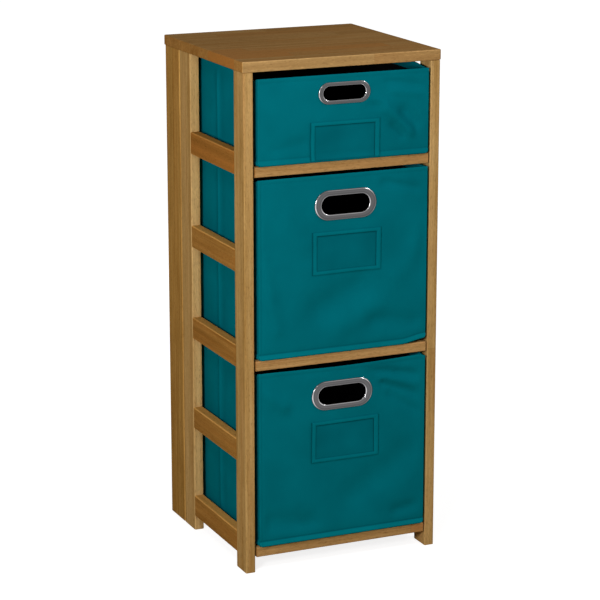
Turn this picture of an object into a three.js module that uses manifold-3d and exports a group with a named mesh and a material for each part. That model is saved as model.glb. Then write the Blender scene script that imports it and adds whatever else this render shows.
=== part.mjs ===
// Folding bookcase with three fabric bins, in millimetres, +Z up.
// The bookcase stands on Z = 0 with its front towards -Y, centred on X and Y.
// A back frame carries two ladder-like side frames on butt hinges, three shelves on
// steel pivot pins and a top panel on two hinges behind it. Each shelf is held level
// at the front by two pins in the front posts, and a fabric bin slides in over it.

import * as THREE from 'three';
import { mergeVertices } from 'three/addons/utils/BufferGeometryUtils.js';
import Module from 'manifold-3d';

const wasm = await Module();
wasm.setup();

// Whole bookcase
const frameWidth = 352;
const frameDepth = 350;
const overallHeight = 864;
const boardThickness = 17;
const glueLine = 0.2;
const edgeRound = 2.2;
const arcSteps = 2;
const roundSides = 12;
const cutOverrun = 1;

// Top panel
const topThickness = 17.5;
const topOverhang = 2;
const topSeat = 0.3;
const topEdgeRound = 3;
const topCornerRound = 4.5;

// Side frames, a front post and a rear post with five rungs between them
const frontPostDepth = 42;
const rearPostDepth = 47.5;
const rungHeight = 38;
const lowestRung = 26;
const rungCount = 5;

// Back frame, whose right stile is shallower so that the right side folds in first
const leftStileDepth = 66;
const foldClearance = 1.5;
const railHeight = 38;

// Shelves, one at every second rung
const shelfCount = 3;
const rungsPerShelf = 2;
const topBinSpace = 154.2;
const shelfEndGap = 3;
const shelfBackGap = 1;

// Steel pins that the shelves turn on at the back and rest on at the front
const pinRadius = 2.5;
const pinBite = 9;
const pinPlay = 0.15;

// Butt hinges between the stiles and the side frames, with leaves in the joint
const sideLeafThickness = 0.7;
const sideLeafMargin = 5.85;
const sideLeafLength = 50;
const sideBarrelRadius = 1.7;
const sidePinRadius = 0.8;
const leafSpace = 0.3;

// Butt hinges behind the top panel
const topLeafThickness = 0.9;
const topLeafMargin = 3.5;
const topLeafLength = 44;
const topBarrelRadius = 2.4;
const topPinRadius = 1.2;
const topHingeInset = 70;

// All hinges
const leafSeat = 0.15;
const hingePlay = 0.1;
const knuckleCount = 3;
const knuckleGap = 0.3;

// Fabric bins
const binSideGap = 4;
const binBackGap = 29.5;
const binProud = 2.5;
const binWall = 3;
const binCornerRound = 6;
const binSeat = 0.3;
const tallBinHeadroom = 4.5;
const topBinHeadroom = 10;
const baseBoardThickness = 2.5;
const baseBoardPlay = 1;

// Hand-hole grommets: flange, tube through the wall and ring behind it
const tallGrommet = { width: 112, height: 50.5, holeWidth: 87, holeHeight: 31.5, drop: 51 };
const smallGrommet = { width: 93, height: 36, holeWidth: 76, holeHeight: 23.5, drop: 32 };
const grommetTube = 1.6;
const grommetFlange = 1.4;
const grommetPlay = 0.3;

// Label pockets sewn on the bin fronts
const pocketWidth = 125;
const pocketHeight = 72;
const pocketBorder = 8.5;
const pocketHem = 6.5;
const pocketSheet = 0.5;
const pocketBorderThickness = 1.1;
const pocketCornerRound = 2;
const tallPocketDrop = 18.25;
const smallPocketDrop = 27.5;
const smallPocketRise = 3;

// How far each grommet and pocket sits to the right of its bin's middle, as they are
// punched and sewn by hand
const bottomBinPlaces = { grommetX: -1.2, pocketX: 4.5 };
const middleBinPlaces = { grommetX: 3.5, pocketX: 5.5 };
const topBinPlaces = { grommetX: 0.5, pocketX: 1.8 };

// Places worked out from the sizes
const outerX = frameWidth / 2;
const innerX = outerX - boardThickness;
const frameTop = overallHeight - topThickness - topSeat;
const topWidth = frameWidth + 2 * topOverhang;
const rungPitch = (frameTop - topBinSpace - boardThickness - lowestRung) / (rungCount - 1);
const stileJoint = 2 * (leafSeat + sideLeafThickness) + leafSpace;
const rightStileDepth = leftStileDepth - boardThickness - foldClearance;
const shelfWidth = 2 * (innerX - shelfEndGap);
const shelfDepth = frameDepth - boardThickness - shelfBackGap;
const shelfPivotY = shelfDepth - boardThickness / 2;
const shelfRestY = frontPostDepth / 2;
const sideLeafWidth = boardThickness + leafSeat + sideBarrelRadius - sideLeafMargin;
const topLeafWidth = topThickness - topLeafMargin;
const binFrontY = -binProud;
const binWidth = 2 * (innerX - binSideGap);
const binDepth = shelfDepth + binProud - binBackGap;
const topAxisY = frameDepth + leafSeat + topBarrelRadius;
const topAxisZ = overallHeight - topThickness - topSeat / 2;

// The depth that the whole object takes, grommets in front and hinges behind,
// so that the origin is under the middle of it
const grommetProud = grommetPlay + grommetFlange;
const frontReach = binFrontY - grommetProud;
const backReach = topAxisY + topBarrelRadius;
const middleY = (frontReach + backReach) / 2;

const wood = { color: '#a57c4a', roughness: 0.45, metalness: 0 };
const rungWood = { color: '#8a5c2c', roughness: 0.45, metalness: 0 };
const topWood = { color: '#7a5630', roughness: 0.4, metalness: 0 };
const steel = { color: '#b9bbbe', roughness: 0.3, metalness: 1 };
const chrome = { color: '#cfcfd2', roughness: 0.15, metalness: 1 };
const tealFabric = { color: '#006872', roughness: 0.85, metalness: 0 };
const pocketFabric = { color: '#015a64', roughness: 0.6, metalness: 0 };
const blackBoard = { color: '#141414', roughness: 0.9, metalness: 0 };

const bookcase = new THREE.Group();
bookcase.position.y = -middleY;

function addPiece(name, geometry, finish) {
  const mesh = new THREE.Mesh(geometry, new THREE.MeshStandardMaterial(finish));
  mesh.name = name;
  bookcase.add(mesh);
  return mesh;
}

// A rectangle with round corners, centred on the shape's origin
function roundedRectangle(width, height, radius) {
  const x = width / 2 - radius;
  const y = height / 2 - radius;
  const outline = new THREE.Shape();
  outline.absarc(x, y, radius, 0, Math.PI / 2);
  outline.absarc(-x, y, radius, Math.PI / 2, Math.PI);
  outline.absarc(-x, -y, radius, Math.PI, 3 * Math.PI / 2);
  outline.absarc(x, -y, radius, 3 * Math.PI / 2, 2 * Math.PI);
  outline.closePath();
  return outline;
}

function prism(outline, length, steps) {
  const options = { depth: length, bevelEnabled: false, curveSegments: steps };
  const solid = new THREE.ExtrudeGeometry(outline, options);
  return solid.translate(0, 0, -length / 2);
}

// Geometry to a manifold solid for a join or a cut, and back
function toSolid(geometry) {
  const plain = geometry.clone();
  plain.deleteAttribute('normal');
  plain.deleteAttribute('uv');
  const merged = mergeVertices(plain);
  const vertProperties = new Float32Array(merged.attributes.position.array);
  const triVerts = new Uint32Array(merged.index.array);
  return new wasm.Manifold(new wasm.Mesh({ numProp: 3, vertProperties, triVerts }));
}

function toGeometry(solid) {
  const mesh = solid.getMesh();
  const geometry = new THREE.BufferGeometry();
  geometry.setAttribute('position', new THREE.BufferAttribute(new Float32Array(mesh.vertProperties), 3));
  geometry.setIndex(new THREE.BufferAttribute(new Uint32Array(mesh.triVerts), 1));
  const faceted = geometry.toNonIndexed();
  faceted.computeVertexNormals();
  return faceted;
}

function block(low, high) {
  const size = high.map((value, axis) => value - low[axis]);
  const middle = high.map((value, axis) => (value + low[axis]) / 2);
  return new THREE.BoxGeometry(...size).translate(...middle);
}

// A round rod between two places along X or Z
function rod(axis, radius, from, to, across) {
  const length = to - from;
  const cylinder = new THREE.CylinderGeometry(radius, radius, length, roundSides);
  const middle = (from + to) / 2;
  if (axis === 'x') {
    return cylinder.rotateZ(Math.PI / 2).translate(middle, across[0], across[1]);
  }
  return cylinder.rotateX(Math.PI / 2).translate(across[0], across[1], middle);
}

// A board between two corners, its long edges eased, with the grain along one axis
function easedBoard(low, high, grain) {
  const size = high.map((value, axis) => value - low[axis]);
  const middle = high.map((value, axis) => (value + low[axis]) / 2);
  const [x, y, z] = size;
  let board;
  if (grain === 'z') {
    board = prism(roundedRectangle(x, y, edgeRound), z, arcSteps);
  } else if (grain === 'y') {
    board = prism(roundedRectangle(x, z, edgeRound), y, arcSteps).rotateX(Math.PI / 2);
  } else {
    board = prism(roundedRectangle(z, y, edgeRound), x, arcSteps).rotateY(Math.PI / 2);
  }
  return board.translate(...middle);
}

function rungBottom(index) {
  return lowestRung + index * rungPitch;
}

function shelfBottom(index) {
  return rungBottom(index * rungsPerShelf);
}

// Side frames: one board thick, with the rungs flush between the posts
function acrossSide(side) {
  return side < 0 ? [-outerX, -innerX] : [innerX, outerX];
}

function addSideFrame(sideName, side, stileDepth) {
  const [x0, x1] = acrossSide(side);
  const rearEdge = frameDepth - stileDepth - stileJoint;
  const rearPostFront = rearEdge - rearPostDepth;
  const faceX = side * innerX;

  const pinHoles = shelfNames.map((name, index) => {
    const z = shelfBottom(index) + boardThickness / 2;
    const ends = [faceX - side * cutOverrun, faceX + side * (pinBite + pinPlay)];
    return rod('x', pinRadius + pinPlay, Math.min(...ends), Math.max(...ends), [shelfRestY, z]);
  });
  const frontPost = pinHoles.reduce(
    (post, hole) => post.subtract(toSolid(hole)),
    toSolid(easedBoard([x0, 0, 0], [x1, frontPostDepth, frameTop], 'z')),
  );
  addPiece(`${sideName}_front_post`, toGeometry(frontPost), wood);
  addPiece(`${sideName}_rear_post`, easedBoard([x0, rearPostFront, 0], [x1, rearEdge, frameTop], 'z'), wood);

  for (let index = 0; index < rungCount; index += 1) {
    const z = rungBottom(index);
    const low = [x0, frontPostDepth + glueLine, z];
    const high = [x1, rearPostFront - glueLine, z + rungHeight];
    addPiece(`${sideName}_rung_${index + 1}`, easedBoard(low, high, 'y'), rungWood);
  }
}

// Back frame: two stiles joined by a rail behind each shelf and one under the top
function addStile(sideName, side, stileDepth) {
  const [x0, x1] = acrossSide(side);
  const faceX = side * innerX;
  const pivotHoles = shelfNames.map((name, index) => {
    const z = shelfBottom(index) + boardThickness / 2;
    const ends = [faceX - side * cutOverrun, faceX + side * (pinBite + pinPlay)];
    return rod('x', pinRadius + pinPlay, Math.min(...ends), Math.max(...ends), [shelfPivotY, z]);
  });
  const stile = pivotHoles.reduce(
    (board, hole) => board.subtract(toSolid(hole)),
    toSolid(easedBoard([x0, frameDepth - stileDepth, 0], [x1, frameDepth, frameTop], 'z')),
  );
  addPiece(`${sideName}_back_stile`, toGeometry(stile), wood);
}

function addRail(name, bottom) {
  const railX = innerX - glueLine;
  const low = [-railX, frameDepth - boardThickness, bottom];
  const high = [railX, frameDepth, bottom + railHeight];
  addPiece(name, easedBoard(low, high, 'x'), rungWood);
}

// A shelf, drilled for its pivot pins and notched from below for its front pins
function addShelf(name, index) {
  const bottom = shelfBottom(index);
  const middleZ = bottom + boardThickness / 2;
  const endX = shelfWidth / 2;
  const reach = pinBite + pinPlay;
  let shelf = toSolid(easedBoard([-endX, 0, bottom], [endX, shelfDepth, bottom + boardThickness], 'x'));
  for (const side of [-1, 1]) {
    const ends = [side * (endX - reach), side * (endX + cutOverrun)];
    const [from, to] = [Math.min(...ends), Math.max(...ends)];
    const hole = rod('x', pinRadius + pinPlay, from, to, [shelfPivotY, middleZ]);
    const slot = pinRadius + pinPlay;
    const notchLow = [from, shelfRestY - slot, bottom - cutOverrun];
    const notchHigh = [to, shelfRestY + slot, middleZ];
    const notchTop = rod('x', slot, from, to, [shelfRestY, middleZ]);
    for (const cut of [hole, block(notchLow, notchHigh), notchTop]) {
      shelf = shelf.subtract(toSolid(cut));
    }
  }
  addPiece(name, toGeometry(shelf), wood);

  for (const [sideName, side] of [['left', -1], ['right', 1]]) {
    const inShelf = side * (endX - pinBite);
    const inFrame = side * (innerX + pinBite);
    const [from, to] = [Math.min(inShelf, inFrame), Math.max(inShelf, inFrame)];
    addPiece(`${name}_${sideName}_pivot_pin`, rod('x', pinRadius, from, to, [shelfPivotY, middleZ]), steel);
    addPiece(`${name}_${sideName}_rest_pin`, rod('x', pinRadius, from, to, [shelfRestY, middleZ]), steel);
  }
}

// One leaf of a butt hinge. The pin is on local Z, the plate runs along local X from
// the pin, and plateY is the middle of the plate's thickness. The outer knuckles are
// bored for the pin, and the leaf with the middle knuckle holds the pin fast.
function hingeLeaf(size, plateY, holdsPin) {
  const { thickness, width, length, barrelRadius, hingePin } = size;
  const knuckle = length / knuckleCount;
  const half = length / 2;
  const low = [0, plateY - thickness / 2, -half];
  const high = [width, plateY + thickness / 2, half];
  const barrel = (radius, from, to) => toSolid(rod('z', radius, from, to, [0, 0]));
  const inner = knuckle / 2 - knuckleGap / 2;
  const outer = knuckle / 2 + knuckleGap / 2;
  const clear = barrelRadius + knuckleGap;
  const plate = toSolid(block(low, high));
  if (holdsPin) {
    const cleared = plate
      .subtract(barrel(clear, inner, half + cutOverrun))
      .subtract(barrel(clear, -half - cutOverrun, -inner));
    return toGeometry(cleared.add(barrel(barrelRadius, -inner, inner)).add(barrel(hingePin, -half, half)));
  }
  const cleared = plate.subtract(barrel(clear, -outer, outer));
  return toGeometry(
    cleared
      .add(barrel(barrelRadius, outer, half))
      .add(barrel(barrelRadius, -half, -outer))
      .subtract(barrel(hingePin + hingePlay, -half - cutOverrun, half + cutOverrun)),
  );
}

// Side hinges stand at the rungs between the shelves, so that no shelf end meets them
function addSideHinges(sideName, side, stileDepth) {
  const size = {
    thickness: sideLeafThickness,
    width: sideLeafWidth,
    length: sideLeafLength,
    barrelRadius: sideBarrelRadius,
    hingePin: sidePinRadius,
  };
  const plateY = (leafSpace + sideLeafThickness) / 2;
  const x = side * (innerX - leafSeat - sideBarrelRadius);
  const y = frameDepth - stileDepth - stileJoint / 2;
  for (const [place, rung] of [['lower', 1], ['upper', 3]]) {
    const z = rungBottom(rung) + rungHeight / 2;
    const holder = new THREE.Group();
    holder.position.set(x, y, z);
    holder.rotation.z = side < 0 ? Math.PI : 0;
    bookcase.add(holder);
    const stileSide = side < 0 ? -plateY : plateY;
    holder.add(addPiece(`${sideName}_${place}_hinge_stile_leaf`, hingeLeaf(size, stileSide, false), steel));
    holder.add(addPiece(`${sideName}_${place}_hinge_post_leaf`, hingeLeaf(size, -stileSide, true), steel));
  }
}

// Top hinges: one leaf on the back edge of the top panel, one on the top rail
function addTopHinges() {
  const size = {
    thickness: topLeafThickness,
    width: topLeafWidth,
    length: topLeafLength,
    barrelRadius: topBarrelRadius,
    hingePin: topPinRadius,
  };
  const plateOffset = topBarrelRadius - topLeafThickness / 2;
  for (const [sideName, side] of [['left', -1], ['right', 1]]) {
    const x = side * (innerX - topHingeInset);
    const upper = new THREE.Group();
    upper.position.set(x, topAxisY, topAxisZ);
    upper.rotation.y = -Math.PI / 2;
    bookcase.add(upper);
    upper.add(addPiece(`${sideName}_top_hinge_panel_leaf`, hingeLeaf(size, -plateOffset, true), steel));
    const lower = new THREE.Group();
    lower.position.set(x, topAxisY, topAxisZ);
    lower.rotation.y = Math.PI / 2;
    bookcase.add(lower);
    lower.add(addPiece(`${sideName}_top_hinge_rail_leaf`, hingeLeaf(size, -plateOffset, false), steel));
  }
}

function addTopPanel() {
  const outline = roundedRectangle(topWidth, frameDepth, topCornerRound);
  const panel = new THREE.ExtrudeGeometry(outline, {
    depth: topThickness - 2 * topEdgeRound,
    bevelThickness: topEdgeRound,
    bevelSize: topEdgeRound,
    bevelOffset: -topEdgeRound,
    bevelSegments: arcSteps,
    curveSegments: arcSteps,
  });
  panel.translate(0, frameDepth / 2, overallHeight - topThickness + topEdgeRound);
  addPiece('top_panel', panel, topWood);
}

// A slot with round ends, seen from the front, as a bar that runs along Y
function slotBar(width, height, fromY, toY, middleX, middleZ) {
  const bar = prism(roundedRectangle(width, height, height / 2), toY - fromY, 2 * arcSteps);
  return toSolid(bar.rotateX(Math.PI / 2).translate(middleX, (fromY + toY) / 2, middleZ));
}

// Grommet: a front flange, a tube through the wall and a ring that clinches it behind
function addGrommet(name, grommet, middleX, middleZ) {
  const { width, height, holeWidth, holeHeight } = grommet;
  const wallBack = binFrontY + binWall;
  const front = binFrontY - grommetPlay;
  const back = wallBack + grommetPlay;
  const flange = slotBar(width, height, front - grommetFlange, front, middleX, middleZ);
  const ringWidth = (width + holeWidth) / 2;
  const ringHeight = (height + holeHeight) / 2;
  const ring = slotBar(ringWidth, ringHeight, back, back + grommetFlange, middleX, middleZ);
  const tubeWidth = holeWidth + 2 * grommetTube;
  const tubeHeight = holeHeight + 2 * grommetTube;
  const tubeFront = front - grommetFlange / 2;
  const tube = slotBar(tubeWidth, tubeHeight, tubeFront, back + grommetFlange / 2, middleX, middleZ);
  const holeFront = front - grommetFlange - cutOverrun;
  const holeBack = back + grommetFlange + cutOverrun;
  const hole = slotBar(holeWidth, holeHeight, holeFront, holeBack, middleX, middleZ);
  addPiece(name, toGeometry(flange.add(ring).add(tube).subtract(hole)), chrome);
}

// Label pocket: a thin sheet with a thicker stitched border
function addPocket(name, middleX, bottom, top) {
  const height = top - bottom;
  const back = binFrontY - grommetPlay;
  const middleZ = (bottom + top) / 2;
  const plate = (width, tall, round, thickness) => {
    const sheet = prism(roundedRectangle(width, tall, round), thickness, arcSteps).rotateX(Math.PI / 2);
    return toSolid(sheet.translate(middleX, back - thickness / 2, middleZ));
  };
  const border = plate(pocketWidth, height, pocketCornerRound, pocketBorderThickness);
  const windowWidth = pocketWidth - 2 * pocketBorder;
  const windowHeight = height - 2 * pocketHem;
  const opening = plate(windowWidth, windowHeight, pocketCornerRound, pocketBorderThickness + cutOverrun);
  const sheet = plate(pocketWidth - pocketBorder, height - pocketHem, pocketCornerRound, pocketSheet);
  addPiece(name, toGeometry(border.subtract(opening).add(sheet)), pocketFabric);
}

// Bin: an open fabric box with a stiff board on its bottom
function addBin(name, index, height, grommet, places, pocketSpan) {
  const bottom = shelfBottom(index) + boardThickness + binSeat;
  const top = bottom + height;
  const middleBinY = binFrontY + binDepth / 2;
  const insideWidth = binWidth - 2 * binWall;
  const insideDepth = binDepth - 2 * binWall;
  const innerHeight = height - binWall + cutOverrun;
  const innerOutline = roundedRectangle(insideWidth, insideDepth, binCornerRound - binWall);
  const outside = prism(roundedRectangle(binWidth, binDepth, binCornerRound), height, arcSteps);
  const inside = prism(innerOutline, innerHeight, arcSteps);
  outside.translate(0, middleBinY, bottom + height / 2);
  inside.translate(0, middleBinY, bottom + binWall + innerHeight / 2);
  const holeZ = top - grommet.drop;
  const holeWidth = grommet.holeWidth + 2 * (grommetTube + grommetPlay);
  const holeHeight = grommet.holeHeight + 2 * (grommetTube + grommetPlay);
  const holeFront = binFrontY - cutOverrun;
  const holeBack = binFrontY + binWall + cutOverrun;
  const hole = slotBar(holeWidth, holeHeight, holeFront, holeBack, places.grommetX, holeZ);
  const shell = toSolid(outside).subtract(toSolid(inside)).subtract(hole);
  addPiece(`${name}_shell`, toGeometry(shell), tealFabric);
  addGrommet(`${name}_grommet`, grommet, places.grommetX, holeZ);

  const boardX = binWidth / 2 - binWall - baseBoardPlay;
  const boardFront = binFrontY + binWall + baseBoardPlay;
  const boardBack = binFrontY + binDepth - binWall - baseBoardPlay;
  const boardBottom = bottom + binWall + binSeat;
  const boardLow = [-boardX, boardFront, boardBottom];
  const boardHigh = [boardX, boardBack, boardBottom + baseBoardThickness];
  addPiece(`${name}_base_board`, block(boardLow, boardHigh), blackBoard);

  const [pocketBottom, pocketTop] = pocketSpan(bottom, holeZ - grommet.height / 2);
  addPocket(`${name}_label_pocket`, places.pocketX, pocketBottom, pocketTop);
}

const shelfNames = ['lower_shelf', 'middle_shelf', 'upper_shelf'];
const railNames = ['lower_back_rail', 'middle_back_rail', 'upper_back_rail'];

addTopPanel();
addSideFrame('left', -1, leftStileDepth);
addSideFrame('right', 1, rightStileDepth);
addStile('left', -1, leftStileDepth);
addStile('right', 1, rightStileDepth);
railNames.forEach((name, index) => addRail(name, shelfBottom(index)));
addRail('top_back_rail', frameTop - railHeight);
shelfNames.forEach(addShelf);
addSideHinges('left', -1, leftStileDepth);
addSideHinges('right', 1, rightStileDepth);
addTopHinges();

const tallBinHeight = rungsPerShelf * rungPitch - boardThickness - binSeat - tallBinHeadroom;
const upperShelfTop = shelfBottom(shelfCount - 1) + boardThickness;
const topBinHeight = overallHeight - topThickness - upperShelfTop - binSeat - topBinHeadroom;
const tallPocket = (bottom, below) => [below - tallPocketDrop - pocketHeight, below - tallPocketDrop];
const smallPocket = (bottom, below) => [bottom + smallPocketRise, below - smallPocketDrop];
addBin('bottom_bin', 0, tallBinHeight, tallGrommet, bottomBinPlaces, tallPocket);
addBin('middle_bin', 1, tallBinHeight, tallGrommet, middleBinPlaces, tallPocket);
addBin('top_bin', 2, topBinHeight, smallGrommet, topBinPlaces, smallPocket);

export default bookcase;
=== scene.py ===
# Folding bookcase with three fabric bins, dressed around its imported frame.
# Metres, +Z up, with the front of the bookcase towards -Y.

import math
import random
from functools import partial

import bmesh
import bpy
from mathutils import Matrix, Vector, noise


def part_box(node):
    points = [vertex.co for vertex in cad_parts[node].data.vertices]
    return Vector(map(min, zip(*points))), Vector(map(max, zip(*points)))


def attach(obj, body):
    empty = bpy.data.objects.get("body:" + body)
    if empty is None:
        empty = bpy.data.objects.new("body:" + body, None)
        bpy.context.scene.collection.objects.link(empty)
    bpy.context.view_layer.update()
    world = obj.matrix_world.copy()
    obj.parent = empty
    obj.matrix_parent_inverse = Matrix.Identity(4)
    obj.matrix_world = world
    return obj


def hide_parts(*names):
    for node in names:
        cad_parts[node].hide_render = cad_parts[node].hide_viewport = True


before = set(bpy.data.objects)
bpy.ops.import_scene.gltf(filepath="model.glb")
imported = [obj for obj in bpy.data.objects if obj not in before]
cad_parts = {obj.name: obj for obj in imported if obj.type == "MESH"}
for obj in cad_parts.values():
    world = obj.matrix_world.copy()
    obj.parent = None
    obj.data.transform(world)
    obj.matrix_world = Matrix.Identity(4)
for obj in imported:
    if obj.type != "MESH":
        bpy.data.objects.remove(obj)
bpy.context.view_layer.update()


# Back frame
# Two upright stiles and four rails between them, all 17 mm hardwood boards with eased
# edges, stained a medium brown and lacquered to a satin. The rails are glued and
# dowelled to the stiles, and the stiles carry the hinges that the sides fold in on.

edge_round = 0.0022
edge_steps = 4
end_round = 0.0004
end_steps = 2
coincident = 0.00001
cut_tolerance = 0.000001
pin_play = 0.00015
pin_hole_sides = 32
far_off = 10.0
mostly = 0.5
wood_angle = 35
flats_weight = 100
chooser = random.Random(11)


def activate(piece):
    bpy.ops.object.select_all(action="DESELECT")
    piece.select_set(True)
    bpy.context.view_layer.objects.active = piece


def settle(piece):
    activate(piece)
    bpy.ops.object.transform_apply(location=True, rotation=True, scale=True)


def start_block(name, low, high):
    bpy.ops.mesh.primitive_cube_add(size=1, location=(low + high) / 2)
    piece = bpy.context.object
    piece.name = name
    piece.data.name = name
    piece.scale = high - low
    settle(piece)
    return piece


def edit_parts(piece, kind, chosen):
    """Opens edit mode on the piece with just its edges or faces selected that chosen is true of."""
    activate(piece)
    bpy.ops.object.mode_set(mode="EDIT")
    bpy.ops.mesh.select_mode(type=kind)
    bpy.ops.mesh.select_all(action="DESELECT")
    mesh = bmesh.from_edit_mesh(piece.data)
    for part in mesh.edges if kind == "EDGE" else mesh.faces:
        part.select_set(bool(chosen(part)))
    bmesh.update_edit_mesh(piece.data)


def bevel_edges(piece, chosen, radius, steps):
    """Rounds the edges that chosen is true of, given the two ends of each."""
    edit_parts(piece, "EDGE", lambda edge: chosen(*(vertex.co for vertex in edge.verts)))
    bpy.ops.mesh.bevel(offset=radius, segments=steps, affect="EDGES", clamp_overlap=False)
    bpy.ops.object.mode_set(mode="OBJECT")


def apply_modifier(piece, kind, **settings):
    activate(piece)
    modifier = piece.modifiers.new(kind.lower(), kind)
    for name, value in settings.items():
        setattr(modifier, name, value)
    bpy.ops.object.modifier_apply(modifier=modifier.name)


def join_or_cut(piece, other, operation):
    apply_modifier(piece, "BOOLEAN", operation=operation, solver="EXACT", object=other)
    bpy.data.objects.remove(other)


def cut_away(piece, cutter):
    join_or_cut(piece, cutter, "DIFFERENCE")


def set_attribute(piece, name, values, domain="POINT"):
    attribute = piece.data.attributes.new(name, "FLOAT", domain)
    attribute.data.foreach_set("value", values)


def eased_board(name, node, grain, radius=edge_round):
    """A board that fills its node's box, with rounded long edges and crisp ends."""
    low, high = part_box(node)
    axis = "xyz".index(grain)
    piece = start_block(name, low, high)

    def runs_along(start, end):
        return abs(start[axis] - end[axis]) > coincident

    def at_an_end(start, end):
        from_end = min(start[axis] - low[axis], high[axis] - start[axis])
        return not runs_along(start, end) and from_end < coincident

    bevel_edges(piece, runs_along, radius, edge_steps)
    bevel_edges(piece, at_an_end, end_round, end_steps)
    return piece


def pin_cutter(pin):
    """A cylinder across the bookcase, with a little play round the pin."""
    low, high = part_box(pin)
    bpy.ops.mesh.primitive_cylinder_add(
        vertices=pin_hole_sides,
        radius=(high.z - low.z) / 2 + pin_play,
        depth=high.x - low.x + 2 * pin_play,
        location=(low + high) / 2,
        rotation=(0, math.pi / 2, 0),
    )
    cutter = bpy.context.object
    settle(cutter)
    return cutter


def drill_for_pins(piece, pins):
    """Bores a blind hole for each steel pin that reaches into the board."""
    for pin in pins:
        cut_away(piece, pin_cutter(pin))


def cut_grid(piece, places):
    """Cuts the mesh through at each place, given as an axis and a distance along it."""
    mesh = bmesh.new()
    mesh.from_mesh(piece.data)
    for axis, place in places:
        point, normal = Vector((0, 0, 0)), Vector((0, 0, 0))
        point[axis], normal[axis] = place, 1
        everything = mesh.verts[:] + mesh.edges[:] + mesh.faces[:]
        bmesh.ops.bisect_plane(mesh, geom=everything, plane_co=point, plane_no=normal, dist=cut_tolerance)
    mesh.to_mesh(piece.data)
    mesh.free()


# Where the grain, the width of the staves and the thickness lie for each grain direction
grain_axes = {"x": (0, 1, 2), "y": (1, 2, 0), "z": (2, 1, 0)}
dark_spread = 0.12
red_spread = 0.2


def pick_tones():
    """How dark and how red one length of wood is beside the others."""
    return chooser.uniform(-dark_spread, dark_spread), chooser.uniform(0.0, red_spread)


def one_stave(tones=None, joint=far_off, beyond=None):
    """A board of one stave: its edges, where its two lengths meet, and their tones."""
    return [(-far_off, far_off, joint, tones or pick_tones(), beyond or pick_tones())]


def mark_wood(piece, node, grain, staves, edge_tone=0.0, radius=edge_round, full_wear_and_highlight=1.0):
    """Gives each length of each stave its own grain and tone, the board its worn edges with a painted
    highlight on them, and the faces across its staves a painted light tone.
    """
    low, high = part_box(node)
    along, across, through = grain_axes[grain]
    cuts = [(across, edge) for stave in staves for edge in stave[:2]]
    cuts += [(along, stave[2]) for stave in staves]
    cut_grid(piece, [(axis, place) for axis, place in cuts if low[axis] < place < high[axis]])
    # Lighter along the rounded edges: partly wear, partly a painted highlight.
    round_depth = math.sqrt(2) - 1
    wear_and_highlight = []
    for vertex in piece.data.vertices:
        place = vertex.co
        insets = [min(place[side] - low[side], high[side] - place[side]) for side in (across, through)]
        share = 1 - sum(max(0, inset) for inset in insets) / radius
        wear_and_highlight.append(full_wear_and_highlight * min(1, max(0, share / round_depth)))
    set_attribute(piece, "edge_wear_and_highlight", wear_and_highlight)
    seeds = [(chooser.random(), chooser.random()) for _ in staves]
    edges = []
    lengths = []
    for face in piece.data.polygons:
        number = 0
        while number < len(staves) - 1 and face.center[across] > staves[number][1]:
            number += 1
        start, end, joint, *tones = staves[number]
        beyond = int(face.center[along] > joint)
        dark, red = tones[beyond]
        # Painted light: faces across the staves are made lighter or darker by this tone, for how the light
        # falls on them.
        if abs(face.normal[across]) > mostly:
            dark += edge_tone
        edges += (start, end, joint)
        lengths += (seeds[number][beyond], dark, red)
    for name, values in (("stave_edges", edges), ("wood_length", lengths)):
        piece.data.attributes.new(name, "FLOAT_VECTOR", "FACE").data.foreach_set("vector", values)
    end_grain = [float(abs(face.normal[along]) > mostly) for face in piece.data.polygons]
    set_attribute(piece, "end_grain", end_grain, "FACE")


def fill(tree, sockets, values):
    """Links each named socket to the one that it is given, or sets it to a plain value."""
    for name, value in dict(values).items():
        if isinstance(value, bpy.types.NodeSocket):
            tree.links.new(value, sockets[name])
        else:
            sockets[name].default_value = value


def add_node(tree, kind, inputs=(), **settings):
    made = tree.nodes.new("ShaderNode" + kind)
    for name, value in settings.items():
        setattr(made, name, value)
    fill(tree, made.inputs, inputs)
    return made


def attribute(tree, name, output="Fac"):
    return add_node(tree, "Attribute", attribute_name=name).outputs[output]


def math_node(tree, operation, first, second=0.0, third=0.0, clamp=False):
    inputs = {0: first, 1: second, 2: third}
    return add_node(tree, "Math", inputs, operation=operation, use_clamp=clamp).outputs[0]


def vector_node(tree, operation, first, second=(0, 0, 0)):
    return add_node(tree, "VectorMath", {0: first, 1: second}, operation=operation).outputs[0]


# The sockets of a Mix node that hold colours
first_colour, second_colour, mixed_colour = 6, 7, 2


def mix_colours(tree, share, first, second, mode="MIX", clamp=True):
    inputs = {0: share, first_colour: first, second_colour: second}
    settings = {"data_type": "RGBA", "blend_type": mode, "clamp_factor": clamp}
    return add_node(tree, "Mix", inputs, **settings).outputs[mixed_colour]


def tinted(tree, colour, tint):
    return mix_colours(tree, 1.0, colour, tint, "MULTIPLY")


def remap(tree, value, low, high, to_low=0.0, to_high=1.0):
    inputs = dict(enumerate((value, low, high, to_low, to_high)))
    return add_node(tree, "MapRange", inputs, clamp=True).outputs[0]


def stretched_noise(tree, place, stretch, detail):
    inputs = {"Vector": vector_node(tree, "MULTIPLY", place, stretch), "Scale": 1.0, "Detail": detail}
    return add_node(tree, "TexNoise", inputs).outputs[0]


def new_group(name, inputs, outputs):
    group = bpy.data.node_groups.new(name, "ShaderNodeTree")
    for way, sockets in (("INPUT", inputs), ("OUTPUT", outputs)):
        for socket, kind in sockets.items():
            group.interface.new_socket(name=socket, in_out=way, socket_type="NodeSocket" + kind)
    return group, group.nodes.new("NodeGroupInput").outputs, group.nodes.new("NodeGroupOutput").inputs


def split(tree, vector):
    return add_node(tree, "SeparateXYZ", {0: vector}).outputs


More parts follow.
